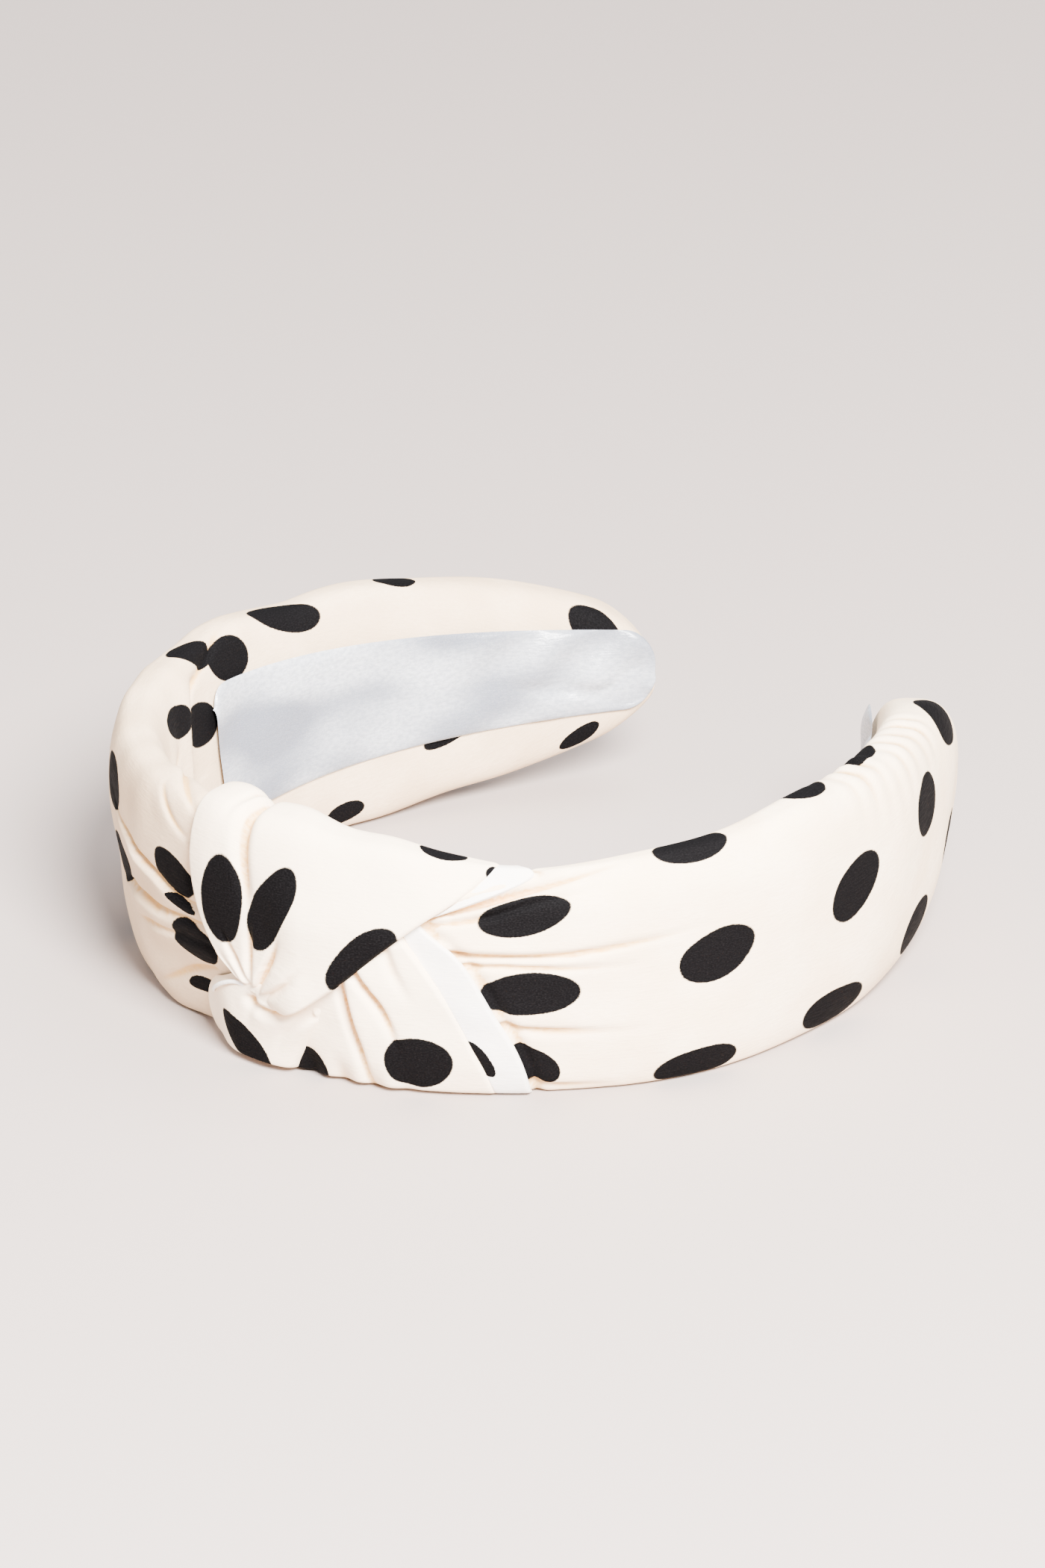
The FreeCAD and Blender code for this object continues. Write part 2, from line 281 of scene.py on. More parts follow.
# ---- materials -----------------------------------------------------------------------------------
class Nodes:
    """Short names for building a node tree."""

    def __init__(self, name):
        self.material = bpy.data.materials.new(name)
        self.material.use_nodes = True
        self.tree = self.material.node_tree
        self.shader = self.tree.nodes["Principled BSDF"]

    def add(self, kind, **settings):
        node = self.tree.nodes.new(kind)
        for key, value in settings.items():
            setattr(node, key, value)
        return node

    def put(self, socket, value):
        if isinstance(value, bpy.types.NodeSocket):
            self.tree.links.new(value, socket)
        else:
            socket.default_value = value

    def math(self, operation, a, b=0.0):
        node = self.add("ShaderNodeMath", operation=operation)
        self.put(node.inputs[0], a)
        self.put(node.inputs[1], b)
        return node.outputs[0]

    def vector(self, operation, a, b=(0, 0, 0)):
        node = self.add("ShaderNodeVectorMath", operation=operation)
        self.put(node.inputs[0], a)
        self.put(node.inputs[1], b)
        return node.outputs["Value" if operation == "LENGTH" else "Vector"]

    def cloth(self):
        return self.add("ShaderNodeAttribute", attribute_name="cloth").outputs["Vector"]

    def crease_shade_share(self):
        return self.add("ShaderNodeAttribute", attribute_name="crease_shade_share").outputs["Fac"]

    def noise(self, vector, scale, detail=2.0, rough=0.5, colour=False):
        node = self.add("ShaderNodeTexNoise")
        self.put(node.inputs["Vector"], vector)
        node.inputs["Scale"].default_value = scale
        node.inputs["Detail"].default_value = detail
        node.inputs["Roughness"].default_value = rough
        return node.outputs["Color" if colour else "Fac"]

    def ramp(self, value, low, high, out_low=0.0, out_high=1.0):
        node = self.add("ShaderNodeMapRange", interpolation_type="SMOOTHSTEP")
        self.put(node.inputs["Value"], value)
        ends = {"From Min": low, "From Max": high, "To Min": out_low, "To Max": out_high}
        for key, number in ends.items():
            node.inputs[key].default_value = number
        return node.outputs["Result"]

    def mix(self, share, a, b):
        node = self.add("ShaderNodeMix", data_type="RGBA")
        self.put(node.inputs["Factor"], share)
        self.put(node.inputs["A"], a)
        self.put(node.inputs["B"], b)
        return node.outputs["Result"]

    def bump(self, height, distance, strength=1.0, normal=None):
        node = self.add("ShaderNodeBump")
        node.inputs["Strength"].default_value = strength
        node.inputs["Distance"].default_value = distance
        self.put(node.inputs["Height"], height)
        if normal is not None:
            self.put(node.inputs["Normal"], normal)
        return node.outputs["Normal"]


def rgb(r, g, b):
    """A colour given as it looks, 0 to 255, turned into linear light."""
    return tuple(((c / 255 + 0.055) / 1.055) ** 2.4 for c in (r, g, b)) + (1,)


def stretch(k, vector, x, y):
    return k.vector("MULTIPLY", vector, (x, y, 1))


def dot_mask(k, cloth, dots):
    """1 inside the printed dots. A dot is (s, v, half length, half width, tilt in degrees)."""
    warp = k.vector("SUBTRACT", k.noise(cloth, 0.11, 0.0, colour=True), (0.5, 0.5, 0.5))
    fuzz = k.vector("SUBTRACT", k.noise(cloth, 4.0, 2.0, 0.6, colour=True), (0.5, 0.5, 0.5))
    place_at = k.vector("ADD", cloth, k.vector("MULTIPLY", warp, (1.1, 1.1, 0)))
    place_at = k.vector("ADD", place_at, k.vector("MULTIPLY", fuzz, (0.35, 0.35, 0)))
    nearest = None
    for s, v, long, wide, tilt in dots:
        node = k.add("ShaderNodeMapping", vector_type="TEXTURE")
        k.put(node.inputs["Vector"], place_at)
        node.inputs["Location"].default_value = (s, v, 0)
        node.inputs["Rotation"].default_value = (0, 0, math.radians(tilt))
        node.inputs["Scale"].default_value = (long, wide, 1)
        far = k.vector("LENGTH", k.vector("MULTIPLY", node.outputs["Vector"], (1, 1, 0)))
        nearest = far if nearest is None else k.math("MINIMUM", nearest, far)
    return k.ramp(nearest, 1.025, 0.975)


CREAM = rgb(255, 232, 202)
# painted shade: the warm dark colour laid into the creases of the satin
PAINTED_CREASE_SHADE = rgb(214, 168, 102)
BLACK = (0.0015, 0.0013, 0.0015, 1)
BLACK_FLECK = (0.006, 0.0055, 0.006, 1)


def satin(name, colour, shade, dots=(), deep=0.95, rough=0.46, streak=(0.09, 0.09), contrast=0.2,
          gloss=0.035):
    """Woven satin: fine twill, soft slubs, broad gloss, and printed dots where asked; its creases get a
    painted warm shade, as strong as deep.
    """
    k = Nodes(name)
    cloth = k.cloth()
    # cloud mixes colour and shade in broad patches: random tone on the covers, painted reflection
    # streaks on the pale lining
    cloud = k.noise(stretch(k, cloth, *streak), 1.0, 1.5)
    slub = k.noise(stretch(k, cloth, 0.35, 2.6), 1.0, 2.0)
    grain = k.noise(stretch(k, cloth, 3.2, 4.6), 1.0, 3.0, 0.65)
    tone = k.mix(k.ramp(cloud, 0.5 - contrast, 0.5 + contrast), colour, shade)
    tone = k.mix(k.ramp(grain, 0.35, 0.8, 0.0, 0.12), tone, rgb(255, 250, 244))
    # painted shade: where the cloth lies in a crease its tone is drawn towards a warm dark colour,
    # standing in for the shade there
    tone = k.mix(k.ramp(k.crease_shade_share(), 0.1, 1.0, 0.0, deep), tone, PAINTED_CREASE_SHADE)
    mottle = k.noise(stretch(k, cloth, 0.9, 1.5), 1.0, 2.0, 0.6)
    tone = k.mix(k.ramp(mottle, 0.3, 0.7, 0.0, 0.4), tone, shade)
    rough = k.ramp(slub, 0.3, 0.7, rough - 0.06, rough + 0.08)
    if dots:
        mask = dot_mask(k, cloth, dots)
        ink = k.mix(k.ramp(grain, 0.40, 0.75), BLACK, BLACK_FLECK)
        tone = k.mix(mask, tone, ink)
        rough = k.math("ADD", rough, k.math("MULTIPLY", mask, 0.3))
    k.put(k.shader.inputs["Base Color"], tone)
    k.put(k.shader.inputs["Roughness"], rough)
    k.shader.inputs["Specular IOR Level"].default_value = gloss
    wave = k.noise(stretch(k, cloth, 0.5, 0.5), 0.5, 2.0)
    fine = k.bump(grain, 0.00004, 0.55)
    mid = k.bump(slub, 0.00010, 0.5, k.bump(mottle, 0.00010, 0.5, fine))
    k.put(k.shader.inputs["Normal"], k.bump(wave, 0.0006, 0.25, mid))
    return k.material


LEFT_DOTS = (
    (-101.6, 30.3, 7.4, 3.5, -16), (-76.6, 29.6, 5.0, 3.3, -25), (-84.6, 34.2, 5.7, 3.9, -15),
    (-60.2, 37.2, 6.2, 2.8, -20), (-72.4, 42.3, 6.1, 4.0, -22), (-42.5, 14.8, 5.4, 5.2, 0),
    (-41, 1.0, 5.6, 4.0, 0), (-16.8, 9.3, 5.2, 3.6, -22), (-14.9, 4.2, 3.6, 1.1, -6),
    (-13.2, -2.8, 5.2, 4.4, 0), (-15.3, -14.9, 4.4, 1.9, 8), (-126, 25.5, 3.9, 2.7, 0),
    (-163.0, 26.4, 6.4, 4.8, 15), (-134.5, -42.0, 6.6, 2.1, 10), (-158.4, -27.0, 3.7, 2.3, -10),
    (-111.5, -33.2, 4.3, 2.4, 0), (-58, -16, 6, 5, 30), (-63, 3, 5.0, 4.6, -20), (-80, -9, 6, 5, 10),
    (-79, -30, 6.5, 4.5, -25), (-86, 9, 5.5, 4.5, 35), (-100, -20, 6, 5, 0), (-103, 3, 6.5, 5, -30),
    (-118, -8, 5.5, 5, 20), (-121, 11, 6, 4.5, -10), (-137, 3, 6, 5, 25), (-140, -18, 5.5, 4, -15),
    (-154, 7, 5, 4.5, 0),
)
RIGHT_DOTS = (
    (42.7, 14.6, 7.0, 3.8, 18), (43.6, -0.8, 7.5, 4.1, 5), (43.2, -15.9, 5.8, 3.6, -32),
    (69, 25.7, 6.4, 4.6, 5), (72.2, 2.6, 6.6, 5.0, 18), (70.3, -19.3, 7.2, 3.8, 4),
    (94.6, 29.0, 4.8, 3.8, 0), (100.0, 5.6, 6.6, 5.0, 45), (99, -18.0, 7.6, 4.3, 0),
    (113.9, 30.4, 6.2, 4.5, -10), (126, 9.8, 5.8, 5.8, 30), (125.0, -13.4, 5.8, 5.2, 20),
    (148, 16.6, 7.6, 5.2, 0), (146, -6, 5.6, 4.6, 20), (84, -37, 5.5, 4, 0), (108, -34, 5.5, 4, 15),
    (60, 40, 6, 4, 20), (150, -24, 5, 4, 0),
)
WRAP_DOTS = (
    (-3.2, 9.8, 7.6, 3.9, 84), (5.7, 10.8, 8.4, 3.2, 66), (20.0, 5.2, 7.2, 3.3, 52),
    (14.6, 32.2, 5.5, 3.2, -25), (30.6, 27.6, 3.8, 2.8, -8), (39.8, 24.0, 3.2, 2.0, 30),
    (4, 50, 6, 4, 0), (28, 48, 5, 4, 20),
)
LOBE_DOTS = ((-1.7, -14.7, 5.9, 3.1, -46), (4, -38, 5, 4, 0))
FAN_DOTS = ((8.2, -19.2, 4.6, 3.9, 75), (27.2, -13.6, 5.2, 4.9, -20), (26, -37, 5.5, 4, 0))
STRIPE_DOTS = ((36.2, -13.0, 1.5, 4.3, 28),)
# painted shade: the far arm's cover is the same cream satin in a deeper, darker cream, standing in for
# the shade that arm lies in
shaded_dotted_left = satin("satin_dotted_left_painted_shade", rgb(228, 200, 166), rgb(213, 184, 149), LEFT_DOTS)
dotted_right = satin("satin_dotted_right", CREAM, rgb(246, 219, 184), RIGHT_DOTS)
wrap_satin = satin("satin_dotted_wrap", CREAM, rgb(252, 230, 202), WRAP_DOTS)
lobe_satin = satin("satin_dotted_lobe", CREAM, rgb(252, 230, 202), LOBE_DOTS)
fan_satin = satin("satin_dotted_fan", CREAM, rgb(252, 230, 202), FAN_DOTS)
# the pale lining is partly its own blue-grey and partly painted reflection: its broad light and dark
# streaks stand in for the gloss of the satin
pale_satin = satin("satin_pale_lining", rgb(186, 188, 193), rgb(106, 110, 121), deep=0.0, rough=0.27,
                   streak=(0.026, 0.060), contrast=0.12, gloss=0.5)
facing_satin = satin("satin_facing", rgb(250, 242, 232), rgb(240, 234, 228), STRIPE_DOTS, deep=0.4)


# ---- covers --------------------------------------------------------------------------------------
TIP_RINGS, TIP_BULGE, TIP_CLOTH, TIP_CALM = (0.82, 0.6, 0.36, 0.14), 0.5, 2.4, 8
SLUMP_DEPTH, DRAWN_DEPTH, GROOVE_OUT = 3.1, 2.8, 0.9


def cover_stations(start):
    body = np.concatenate([np.arange(start, 70, 0.55), np.arange(70, ARM - TIP_ROUND, 0.7)])
    tip = ARM - TIP_ROUND + TIP_ROUND * np.sin(np.radians(np.linspace(0, 90, 26)))
    return np.concatenate([body, tip])


def cover(side, start, relief, material, name):
    """A padded, cloth-covered arm from under the knot to its closed tip."""
    columns = 213
    s = side * cover_stations(start)[:, None]
    w = np.linspace(-1, 1, columns)[None, :]
    v = w * half_round(s)
    s = np.broadcast_to(s, v.shape)
    h = relief(s, v)
    P = skin(s, angle_at(s, v), h)
    C = np.stack([s, v], -1)
    crease_shade_share = hollows(h)
    end = P[-1].mean(0)
    turn = float(heading(np.array(side * ARM)))
    out = np.array([math.cos(turn), math.sin(turn), 0]) * side
    rows, marks = [P], [C]
    for f in TIP_RINGS:
        rows.append((end + (P[-1] - end) * f + out * TIP_BULGE * (1 - f * f))[None])
        marks.append(C[-1:] + np.array([side * TIP_CLOTH * (1 - f), 0]))
    P, C = np.concatenate(rows), np.concatenate(marks)
    crease_shade_share = np.concatenate([crease_shade_share, np.zeros((len(TIP_RINGS), columns))])
    return sheet_mesh(name, P, C, material, closed=True, crease_shade_share=crease_shade_share)


WRAP_LEFT = (
    (-9, 46), (-9.3, 37), (-9.6, 29), (-9.8, 21.5), (-10.2, 14.5), (-9.8, 8.8), (-8.6, 4.2),
    (-6.4, 0.2), (-3.4, -2.4), (-0.8, -4.0), (1.0, -5.0),
)
WRAP_RIGHT = (
    (40, 46), (39.8, 37), (39.4, 29.5), (37.8, 23.3), (33, 16.8), (27.6, 11.8), (22, 6.2),
    (16.2, 0.0), (10.8, -4.6), (6.4, -7.0), (1.8, -6.2),
)
LOBE_LEFT = (
    (0, -3.6), (-4, -5.0), (-8, -7.6), (-12.2, -11), (-14.8, -15), (-15.4, -20), (-15, -26),
    (-14, -34), (-13, -46),
)
STRIPE_RIGHT = (
    (26.2, 15.4), (28.2, 11.6), (33.6, 5.6), (38.2, -4.4), (41.6, -12), (44.0, -21), (45, -32),
    (45, -46),
)
CORNER_RIGHT = (
    (40.4, 44), (40.8, 35), (42.4, 28), (44.2, 23), (39, 18.8), (30.4, 14.2),
)


def slump(s, v):
    """How far the gathered top edge sinks at the knot's right side."""
    across = smooth(s, 20, 42) * smooth(s, 98, 46)
    return SLUMP_DEPTH * across * smooth(v, 14, 27) * smooth(v, 45, 37)


def gathered(s, v):
    """How far the left cover's lower half is drawn in beside the knot."""
    return DRAWN_DEPTH * smooth(s, -30, -14) * smooth(v, -3, -13)


def under_lining(s, v):
    """0 where the glued lining holds the cover flat, 1 elsewhere."""
    bare = smooth(half_round(s) - np.abs(v), 17, 24)
    return 1 - smooth(np.abs(s), 68, 76) * (1 - bare)


def left_relief(s, v):
    h = 0.30 * ripples(s, v, 3, 6, 46, 20, 0.3, 0.9)
    h += 0.12 * ripples(s, v, 4, 6, 14, 7, 0.2, 0.6) * smooth(np.abs(s), 150, 20)
    tuck = ((-62, 53), (-65.1, 44.7), (-67.6, 38), (-70.6, 34.8), (-74.5, 33.6), (-79, 32.2),
            (-84, 29.6), (-90, 27))
    h += crease(s, v, tuck, 1.7, 0.8, 0.9, 4.0, start=0.02, fade=0.5)
    h += crease(s, v, ((-50, 50), (-55, 44), (-60, 41)), 0.5, 1.0, 0.3, 3.0, 0.02, 0.4)
    h += crease(s, v, ((-8, 5.2), (-12, 5.2), (-15.5, 5.4), (-18, 5.8), (-21.4, 7.2), (-27, 7.9),
                       (-32, 8.8), (-38, 10.5), (-46, 15)), 1.1, 0.6, 0.9, 3.6, 0.02, 0.6)
    h += crease(s, v, ((-8, 1.6), (-13, 1.8), (-22, 0.1), (-29, -0.2), (-36, -1.4), (-46, -4.4)),
                1.1, 0.65, 0.9, 3.8, 0.02, 0.6)
    h += crease(s, v, ((-9, -1.6), (-17, -2.6), (-27, -4.4), (-34, -6.4)),
                0.5, 0.7, 0.4, 3.0, 0.02, 0.5)
    h += crease(s, v, ((-10, -7.6), (-16, -11), (-25, -16), (-34, -20)),
                0.7, 1.0, 0.5, 4.0, 0.02, 0.4)
    h += crease(s, v, ((-9, 16.6), (-14.2, 18.2), (-18.7, 21.3), (-22.2, 25.7)),
                0.7, 0.6, 0.3, 2.2, 0.02, 0.6)
    h += crease(s, v, ((-10, 22), (-12.7, 23.6), (-21.2, 28.7), (-28, 33)),
                0.9, 0.7, 0.3, 2.2, 0.02, 0.6)
    h += crease(s, v, ((-10, 27), (-20, 34), (-32, 40), (-44, 44)), 0.8, 0.9, 0.5, 3.0, 0.02, 0.5)
    h *= 0.6 + 0.6 * smooth(np.abs(s), 14, 26)
    groove = [(a - GROOVE_OUT, b) for a, b in WRAP_LEFT]
    h += crease(s, v, groove, 1.5, 1.3, 0.0, 3.0, 0.01, 0.97)
    return h * smooth(np.abs(s), ARM, ARM - TIP_CALM) * under_lining(s, v) - gathered(s, v)


def right_relief(s, v):
    h = 0.30 * ripples(s, v, 7, 6, 46, 20, 0.3, 0.9)
    h += crease(s, v, ((28, 13.5), (38, 17.6), (46, 20.6), (60, 25)), 2.0, 0.8, 0.9, 3.5, 0.02, 0.3)
    h += crease(s, v, ((28, 12.0), (37, 14.2), (44, 17.0), (56, 19.6)),
                1.0, 0.7, 0.5, 3.0, 0.02, 0.35)
    h += crease(s, v, ((30, 7.0), (38, 6.6), (47, 6.6), (60, 8.0), (72, 9)),
                1.8, 0.7, 0.7, 3.5, 0.02, 0.22)
    h += crease(s, v, ((31, 4.4), (39, 4.6), (49, 4.0), (62, 3.8)), 1.0, 0.7, 0.5, 2.5, 0.02, 0.35)
    h += crease(s, v, ((35, -7), (44, -8.4), (52, -9), (64, -9.4)), 0.8, 1.0, 0.5, 4.0, 0.02, 0.3)
    h += crease(s, v, ((40, -20), (48, -21), (60, -21.5)), 0.7, 1.0, 0.4, 3.0, 0.02, 0.3)
    top = np.exp(-((v - 26) / 9) ** 2) * smooth(s, 92, 112) * smooth(s, 146, 132)
    h += 0.36 * top * ripples(s, v, 9, 4, 5.4, 3.4, 0.2, 0.15)
    groove = [(a + GROOVE_OUT, b) for a, b in STRIPE_RIGHT]
    h += crease(s, v, groove, 0.9, 1.0, 0.0, 3.0, 0.01, 0.97)
    groove = [(a + GROOVE_OUT, b) for a, b in CORNER_RIGHT]
    h += crease(s, v, groove, 0.4, 0.9, 0.0, 3.0, 0.01, 0.97)
    return h * smooth(np.abs(s), ARM, ARM - TIP_CALM) * under_lining(s, v) - slump(s, v)


left_cover = cover(-1, 2.0, left_relief, shaded_dotted_left, "left_cover_cloth")
right_cover = cover(1, 0.0, right_relief, dotted_right, "right_cover_cloth")


# ---- lining --------------------------------------------------------------------------------------
LINING_START, LINING_END, LINING_TOE = 76.4, 172.7, 5.8
LINING_HALF, LINING_TIP_HALF, LINING_SHIFT = 19.0, 7.4, 3.4
LINING_HEAD, LINING_COLUMNS = 7, 81
LINING_SEAT, LINING_PILLOW, LINING_LEAST = 0.35, 0.8, 0.1


def lining(side, name):
    """A satin strip glued over the hems, pillowed between its edges and wrinkled at its toe."""
    toe = LINING_END - LINING_TOE
    head = LINING_START + LINING_HEAD * (1 - np.cos(np.radians(np.linspace(0, 90, 16))))
    run = np.concatenate([head[:-1], np.linspace(head[-1], toe, 110)[:-1],
                          toe + LINING_TOE * np.sin(np.radians(np.linspace(0, 90, 26)))])
    q = run / ARM
    half = LINING_HALF + (LINING_TIP_HALF - LINING_HALF) * q
    half = half * np.sqrt(np.clip(1 - np.clip((run - toe) / LINING_TOE, 0, 1) ** 2, 0.02, 1))
    half = half * np.clip(1 - np.clip((head[-1] - run) / LINING_HEAD, 0, 1) ** 4, 0.25, 1) ** 0.25
    mid = LINING_SHIFT * (1 - 0.5 * q)
    j = np.linspace(-1, 1, LINING_COLUMNS)[None, :]
    s = np.broadcast_to(side * run[:, None], (len(run), LINING_COLUMNS))
    z = mid[:, None] + half[:, None] * j
    edge = np.clip(1 - np.abs(j) ** 6, 0, 1) ** 0.5
    wrinkle = 0.30 * ripples(s, z, 12, 6, 44, 16, 0.6, 0.5)
    wrinkle += 0.5 * ripples(s, z, 14, 5, 13, 7, 0.75, 0.35) * smooth(run, 126, 156)[:, None]
    groove = np.exp(-((z + 2 + 0.16 * (np.abs(s) - 160)) / 1.6) ** 2)
    wrinkle -= 0.9 * groove * smooth(run, 138, 160)[:, None]
    r = -LINING_SEAT - np.maximum(LINING_PILLOW + wrinkle, LINING_LEAST) * edge
    cloth_at = np.stack([s, z], -1)
    return sheet_mesh(name, place(s, r, z), cloth_at, pale_satin, crease_shade_share=hollows(wrinkle * edge))


left_lining = lining(-1, "left_lining_cloth")
right_lining = lining(1, "right_lining_cloth")


# ---- knot ----------------------------------------------------------------------------------------
# each relief gives the cloth's height and the height its side edges roll down to, from s, v and the
# shares t along and j across the patch
EDGE_CROWDING = 0.6
TACK_PLACES, TACK_SEAMS, TACK_SEAT = (-8.0, 2.0, 13.0, 24.0, 34.0), (44.5, 62.5), 1.25


def patch(name, left, right, relief, material, rows=130, columns=110, hem=1.3):
    """Cloth between two lines; its side edges roll down to the floor height over the hem width."""
    t = np.linspace(0, 1, rows)
    lines = along(left, t)[:, None, :], along(right, t)[:, None, :]
    j = 0.5 - 0.5 * np.cos(np.pi * np.linspace(0, 1, columns))
    j = (EDGE_CROWDING * j + (1 - EDGE_CROWDING) * np.linspace(0, 1, columns))[None, :, None]
    C = lines[0] * (1 - j) + lines[1] * j
    s, v = C[..., 0], C[..., 1]
    gap = np.linalg.norm(lines[1] - lines[0], axis=-1)
    h, floor = relief(s, v, t[:, None] + 0 * s, j[..., 0] + 0 * s)
    near = np.minimum(j[..., 0], 1 - j[..., 0]) * gap / hem
    roll = np.sqrt(1 - (1 - np.clip(near, 0, 1)) ** 2)
    P = on(s, v, floor + (h - floor) * roll)
    return sheet_mesh(name, P, C, material, crease_shade_share=hollows(h))


def fan_relief(s, v, t, j):
    h = 1.1 + 0.9 * np.exp(-((s - 20) / 11) ** 2)
    h += crease(s, v, ((14.5, 6), (15.6, 1), (16.3, -4), (17.2, -9), (18.6, -16), (20.0, -26)),
                2.2, 0.75, 0.8, 3.2, 0.05, 0.5)
    h += crease(s, v, ((16.6, 6), (18.8, 1.2), (21.4, -3.2), (23.2, -8), (24.5, -14)),
                1.7, 0.75, 0.6, 3.2, 0.1, 0.4)
    h += crease(s, v, ((22.6, 8), (24.0, 3), (26.6, -3)), 0.7, 0.9, 0.3, 3.0, 0.1, 0.35)
    h += 0.6 * np.sin(s * 1.15 + 0.6) * smooth(v, -12, -22) * smooth(s, 30, 20)
    h += 0.12 * ripples(s, v, 25, 6, 20, 9, 1.0, 0.6)
    return h, 0.35 + 0 * h


def over_relief(s, v, t, j):
    low = 0.4 + 2.5 * smooth(v, 22, 8) * smooth(s, 3, 11)
    low = low + 1.2 * np.exp(-((s - 2) / 8) ** 2 - ((v + 6) / 5) ** 2)
    h = low + 0.5 + 2.0 * np.exp(-((s + 2) / 17) ** 2) * smooth(t, 1.0, 0.8)
    h += 1.2 * np.exp(-((s + 6) / 4.5) ** 2) * smooth(v, 8, 24)
    h += 0.9 * np.exp(-((s - 7) / 5) ** 2) * smooth(v, 14, 26)
    h += 1.0 * np.exp(-((s - 9) / 6) ** 2 - ((v + 2) / 5) ** 2)
    h += crease(s, v, ((1.4, 46), (0.8, 34), (0.2, 26), (0.4, 19), (1.4, 12), (2.0, 6)),
                2.4, 1.2, 0.0, 3.0, 0.02, 0.5)
    h += crease(s, v, ((-1.4, 35), (-2.2, 28), (-3.2, 22)), 0.7, 0.7, 0.2, 2.0, 0.2, 0.4)
    h += crease(s, v, ((2.0, -4.8), (3.6, -1.6), (5.6, 2.4), (7.6, 7.4)),
                1.5, 0.6, 0.5, 2.0, 0.02, 0.5)
    h += crease(s, v, ((1.2, -4.6), (-0.6, -1.6), (-2.6, 1.8), (-4.4, 5.4)),
                1.0, 0.6, 0.15, 1.5, 0.02, 0.5)
    h += crease(s, v, ((1.4, -4.4), (1.2, 0), (1.4, 5), (1.6, 9)), 1.1, 0.7, 0.1, 1.5, 0.02, 0.5)
    h += crease(s, v, ((2.2, -5.6), (5.6, -3.4), (8.6, -0.6), (11.6, 2.8)),
                0.9, 0.6, 0.4, 2.0, 0.02, 0.5)
    h += crease(s, v, ((0.8, -4.6), (-2.4, -2.2), (-5.2, 0.8)), 0.5, 0.6, 0.1, 1.2, 0.02, 0.5)
    h += 0.12 * ripples(s, v, 21, 6, 22, 9, 1.2, 0.6)
    sunk = slump(s, v)
    return np.maximum(h, low) - sunk, low - 0.2 - sunk


def lobe_relief(s, v, t, j):
    h = 1.5 + 2.0 * np.sin(np.pi * np.clip(j, 0, 1)) ** 0.7 * smooth(v, -46, -24) ** 0.5
    h += crease(s, v, ((11.5, -7.2), (8.4, -8.8), (5.5, -12.0), (3.5, -16)),
                0.6, 0.8, 0.3, 2.5, 0.1, 0.3)
    h += crease(s, v, ((1.5, -5.2), (0.5, -8), (-1.5, -12)), 0.5, 0.8, 0.3, 2.0, 0.02, 0.3)
    h += crease(s, v, ((15.5, -1.5), (10.8, -5.8), (6.4, -8.2), (1.8, -7.4), (-1, -6)),
                1.3, 0.9, 0.0, 2.0, 0.02, 0.8)
    h += 0.15 * ripples(s, v, 23, 6, 18, 8, -0.8, 0.7)
    h += 2.4 * np.exp(-((s - 2) / 6) ** 2 - ((v + 21) / 6) ** 2)
    drawn = gathered(s, v) * smooth(s, -3, -13)
    return h - drawn, 0.1 - drawn


def stripe_relief(s, v, t, j):
    h = 0.85 - 0.4 * smooth(v, 6, 18) + 0.08 * ripples(s, v, 27, 5, 12, 5, 1.0, 0.5) - slump(s, v)
    return h, h - 0.8


over_wrap = patch(
    "knot_over_wrap_cloth", WRAP_LEFT, WRAP_RIGHT,
    over_relief, wrap_satin, 190, 170, hem=1.2)
lobe = patch(
    "knot_lower_lobe_cloth", LOBE_LEFT,
    ((14, -1.5), (13.8, -4.4), (12.6, -8), (10.9, -11.5), (8.9, -15), (6.8, -19), (4.8, -24), (4, -33),
     (4, -46)),
    lobe_relief, lobe_satin, 130, 120, hem=2.4)
fan = patch(
    "knot_lower_fan_cloth",
    ((10, 2), (10, -4), (8, -10), (5.6, -16), (3, -22), (1.5, -30), (1, -38), (1, -46)),
    ((23.5, 13), (26.2, 8.3), (30.7, 0.0), (34.7, -9.6), (37.4, -17), (39, -24), (39.8, -34),
     (40, -46)),
    fan_relief, fan_satin, 150, 130, hem=0.8)
stripe = patch(
    "knot_facing_stripe",
    ((24, 14), (26.0, 8.0), (30.2, 0.0), (34.2, -9.6), (37.0, -17), (38.8, -24), (39.6, -34),
     (40, -46)),
    STRIPE_RIGHT, stripe_relief, facing_satin, 110, 26, hem=0.6)
corner = patch(
    "knot_facing_corner",
    ((36, 44), (36.5, 35), (37.5, 28), (37, 23), (34, 18), (29, 13.4)),
    CORNER_RIGHT, stripe_relief, facing_satin, 80, 26, hem=0.6)


def strap_relief(s, v, t, j):
    return 1.2 + 0.15 * ripples(s, v, 31, 5, 12, 6, 0.1, 0.3), 0.2 + 0 * s


strap = patch(
    "knot_back_strap_cloth",
    ((-11.5, 42), (-11, 48), (-10.5, 53), (-11, 58), (-11.5, 64)),
    ((39.5, 42), (38.5, 48), (38, 53), (38.5, 58), (39.5, 64)),
    strap_relief, wrap_satin, 60, 110, hem=0.9)


